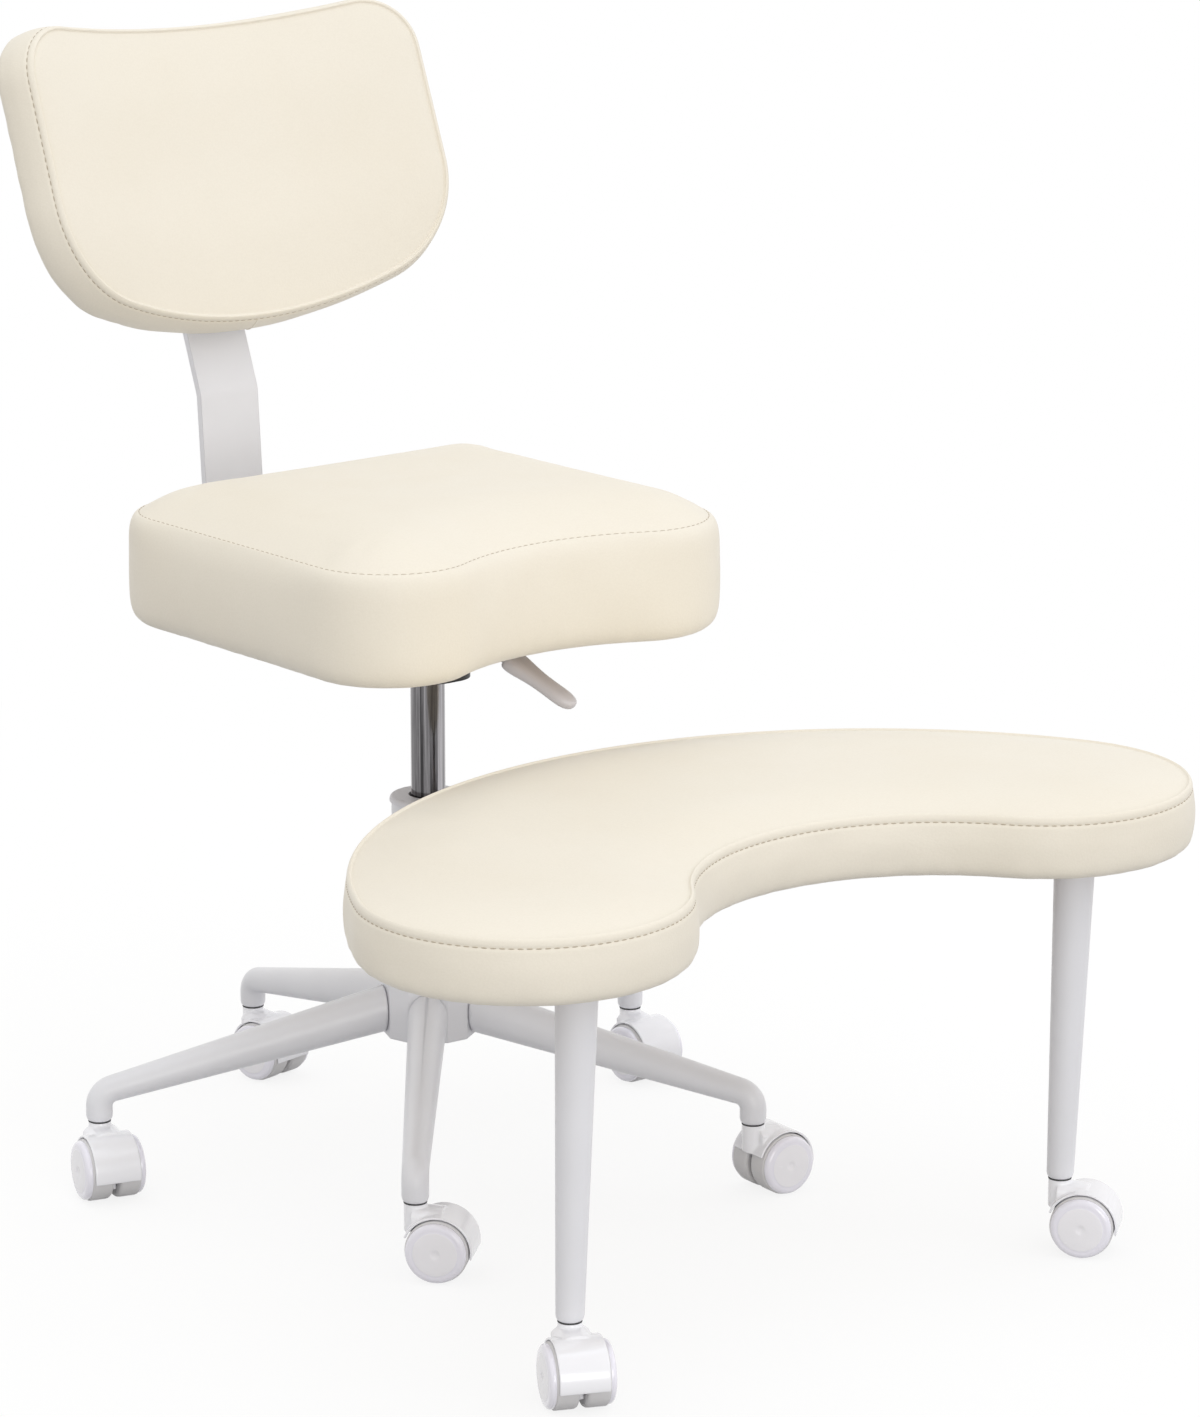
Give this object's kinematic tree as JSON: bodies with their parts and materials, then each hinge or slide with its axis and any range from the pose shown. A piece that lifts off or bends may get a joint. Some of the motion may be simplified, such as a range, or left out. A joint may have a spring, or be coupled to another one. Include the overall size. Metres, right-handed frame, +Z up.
{
  "type": "cross-legged office chair",
  "caption": "Office chair on a castered star base with a gas-lift seat, a horned padded backrest and a wide kidney-shaped footrest that orbits the column for sitting cross-legged.",
  "frame": {"origin": "on the floor at the axis of the column", "axes": "+Z is up, the sitter faces -Y towards the footrest, and +X is to the sitter's left"},
  "size_m": [0.7556, 0.9212, 0.9155],
  "materials": {
    "white_metal": "smooth semi-gloss white powder coat",
    "ivory_leather": "smooth ivory upholstery leather with a fine grain",
    "plywood": "plain birch plywood",
    "chrome_tube": "polished gas lift tube",
    "steel": "bright zinc plated steel",
    "black_metal": "black powder coat",
    "white_plastic": "glossy white moulded plastic",
    "wheel_plastic": "pale grey-white nylon",
    "bush_plastic": "plain acetal bush",
    "back_shell": "white moulded shell with a fine texture"
  },
  "bodies": {
    "base": {"base_hub": "white_metal", "base_leg_1": "white_metal", "base_leg_2": "white_metal", "base_leg_3": "white_metal", "base_leg_4": "white_metal", "base_leg_5": "white_metal", "stand_tube": "white_metal", "guide_bush": "bush_plastic", "thrust_bearing": "steel"},
    "piston": {"piston_rod": "steel"},
    "seat": {"gas_cylinder": "chrome_tube", "seat_mechanism": "black_metal", "seat_plate_bolts": "steel", "seat_board": "plywood", "seat_cushion": "ivory_leather", "back_bar": "white_metal", "back_bar_bolts": "steel", "backrest_board": "plywood", "backrest_rear_panel": "back_shell", "backrest_cushion": "ivory_leather", "backrest_screws": "steel"},
    "lever": {"lever_rod": "black_metal", "lever_handle": "white_plastic"},
    "valve": {"valve_button": "steel"},
    "footrest": {"pivot_sleeve": "white_metal", "sleeve_bushes": "white_plastic", "link_arm": "white_metal", "footrest_board": "plywood", "footrest_cushion": "ivory_leather", "footrest_leg_left": "white_metal", "footrest_leg_right": "white_metal", "footrest_bolts": "steel"},
    "caster_1": {"caster_1_hood": "white_plastic", "caster_1_pins": "steel"},
    "caster_1_wheel_left": {"caster_1_wheel_left": "wheel_plastic"},
    "caster_1_wheel_right": {"caster_1_wheel_right": "wheel_plastic"},
    "caster_2": {"caster_2_hood": "white_plastic", "caster_2_pins": "steel"},
    "caster_2_wheel_left": {"caster_2_wheel_left": "wheel_plastic"},
    "caster_2_wheel_right": {"caster_2_wheel_right": "wheel_plastic"},
    "caster_3": {"caster_3_hood": "white_plastic", "caster_3_pins": "steel"},
    "caster_3_wheel_left": {"caster_3_wheel_left": "wheel_plastic"},
    "caster_3_wheel_right": {"caster_3_wheel_right": "wheel_plastic"},
    "caster_4": {"caster_4_hood": "white_plastic", "caster_4_pins": "steel"},
    "caster_4_wheel_left": {"caster_4_wheel_left": "wheel_plastic"},
    "caster_4_wheel_right": {"caster_4_wheel_right": "wheel_plastic"},
    "caster_5": {"caster_5_hood": "white_plastic", "caster_5_pins": "steel"},
    "caster_5_wheel_left": {"caster_5_wheel_left": "wheel_plastic"},
    "caster_5_wheel_right": {"caster_5_wheel_right": "wheel_plastic"},
    "caster_6": {"caster_6_hood": "white_plastic", "caster_6_pins": "steel"},
    "caster_6_wheel_left": {"caster_6_wheel_left": "wheel_plastic"},
    "caster_6_wheel_right": {"caster_6_wheel_right": "wheel_plastic"},
    "caster_7": {"caster_7_hood": "white_plastic", "caster_7_pins": "steel"},
    "caster_7_wheel_left": {"caster_7_wheel_left": "wheel_plastic"},
    "caster_7_wheel_right": {"caster_7_wheel_right": "wheel_plastic"}
  },
  "joints": [
    {"name": "seat_swivel", "type": "hinge", "parent": "base", "child": "piston", "pos_m": [0, 0, 0.2], "axis": [0, 0, 1], "continuous": true},
    {"name": "seat_height", "type": "slide", "parent": "piston", "child": "seat", "axis": [0, 0, 1], "range_m": [-0.05, 0]},
    {"name": "height_lever", "type": "hinge", "parent": "seat", "child": "lever", "pos_m": [0.00938, -0.02209, 0.441], "axis": [-0.9205, -0.3907, 0], "range_deg": [0, 8], "stiffness_Nm_per_rad": 2, "springref_deg": -3.44},
    {"name": "valve_press", "type": "slide", "parent": "seat", "child": "valve", "axis": [0, 0, -1], "range_m": [0, 0.0041]},
    {"name": "footrest_orbit", "type": "hinge", "parent": "base", "child": "footrest", "pos_m": [0, 0, 0.2], "axis": [0, 0, 1], "continuous": true},
    {"name": "caster_1_swivel", "type": "hinge", "parent": "base", "child": "caster_1", "pos_m": [-0.17805, -0.21219, 0.056], "axis": [0, 0, 1], "continuous": true},
    {"name": "caster_1_roll_left", "type": "hinge", "parent": "caster_1", "child": "caster_1_wheel_left", "pos_m": [-0.16493, -0.22729, 0.025], "axis": [0.7547, 0.6561, 0], "continuous": true},
    {"name": "caster_1_roll_right", "type": "hinge", "parent": "caster_1", "child": "caster_1_wheel_right", "pos_m": [-0.16493, -0.22729, 0.025], "axis": [0.7547, 0.6561, 0], "continuous": true},
    {"name": "caster_2_swivel", "type": "hinge", "parent": "base", "child": "caster_2", "pos_m": [0.14679, -0.23491, 0.056], "axis": [0, 0, 1], "continuous": true},
    {"name": "caster_2_roll_left", "type": "hinge", "parent": "caster_2", "child": "caster_2_wheel_left", "pos_m": [0.16674, -0.2363, 0.025], "axis": [0.0698, 0.9976, 0], "continuous": true},
    {"name": "caster_2_roll_right", "type": "hinge", "parent": "caster_2", "child": "caster_2_wheel_right", "pos_m": [0.16674, -0.2363, 0.025], "axis": [0.0698, 0.9976, 0], "continuous": true},
    {"name": "caster_3_swivel", "type": "hinge", "parent": "base", "child": "caster_3", "pos_m": [0.26877, 0.06701, 0.056], "axis": [0, 0, 1], "continuous": true},
    {"name": "caster_3_roll_left", "type": "hinge", "parent": "caster_3", "child": "caster_3_wheel_left", "pos_m": [0.26807, 0.04702, 0.025], "axis": [0.9994, -0.0349, 0], "continuous": true},
    {"name": "caster_3_roll_right", "type": "hinge", "parent": "caster_3", "child": "caster_3_wheel_right", "pos_m": [0.26807, 0.04702, 0.025], "axis": [0.9994, -0.0349, 0], "continuous": true},
    {"name": "caster_4_swivel", "type": "hinge", "parent": "base", "child": "caster_4", "pos_m": [0.01932, 0.27632, 0.056], "axis": [0, 0, 1], "continuous": true},
    {"name": "caster_4_roll_left", "type": "hinge", "parent": "caster_4", "child": "caster_4_wheel_left", "pos_m": [0.02314, 0.25669, 0.025], "axis": [0.9816, 0.1908, 0], "continuous": true},
    {"name": "caster_4_roll_right", "type": "hinge", "parent": "caster_4", "child": "caster_4_wheel_right", "pos_m": [0.02314, 0.25669, 0.025], "axis": [0.9816, 0.1908, 0], "continuous": true},
    {"name": "caster_5_swivel", "type": "hinge", "parent": "base", "child": "caster_5", "pos_m": [-0.25683, 0.10377, 0.056], "axis": [0, 0, 1], "continuous": true},
    {"name": "caster_5_roll_left", "type": "hinge", "parent": "caster_5", "child": "caster_5_wheel_left", "pos_m": [-0.26234, 0.08454, 0.025], "axis": [0.9613, -0.2756, 0], "continuous": true},
    {"name": "caster_5_roll_right", "type": "hinge", "parent": "caster_5", "child": "caster_5_wheel_right", "pos_m": [-0.26234, 0.08454, 0.025], "axis": [0.9613, -0.2756, 0], "continuous": true},
    {"name": "caster_6_swivel", "type": "hinge", "parent": "footrest", "child": "caster_6", "pos_m": [-0.2465, -0.4855, 0.056], "axis": [0, 0, 1], "continuous": true},
    {"name": "caster_6_roll_left", "type": "hinge", "parent": "caster_6", "child": "caster_6_wheel_left", "pos_m": [-0.25495, -0.50363, 0.025], "axis": [0.9063, -0.4226, 0], "continuous": true},
    {"name": "caster_6_roll_right", "type": "hinge", "parent": "caster_6", "child": "caster_6_wheel_right", "pos_m": [-0.25495, -0.50363, 0.025], "axis": [0.9063, -0.4226, 0], "continuous": true},
    {"name": "caster_7_swivel", "type": "hinge", "parent": "footrest", "child": "caster_7", "pos_m": [0.2465, -0.4855, 0.056], "axis": [0, 0, 1], "continuous": true},
    {"name": "caster_7_roll_left", "type": "hinge", "parent": "caster_7", "child": "caster_7_wheel_left", "pos_m": [0.25881, -0.50126, 0.025], "axis": [0.788, 0.6157, 0], "continuous": true},
    {"name": "caster_7_roll_right", "type": "hinge", "parent": "caster_7", "child": "caster_7_wheel_right", "pos_m": [0.25881, -0.50126, 0.025], "axis": [0.788, 0.6157, 0], "continuous": true}
  ],
  "couplings": [
    {"joint": "valve_press", "follows": "height_lever", "m_per_rad": 0.028}
  ]
}
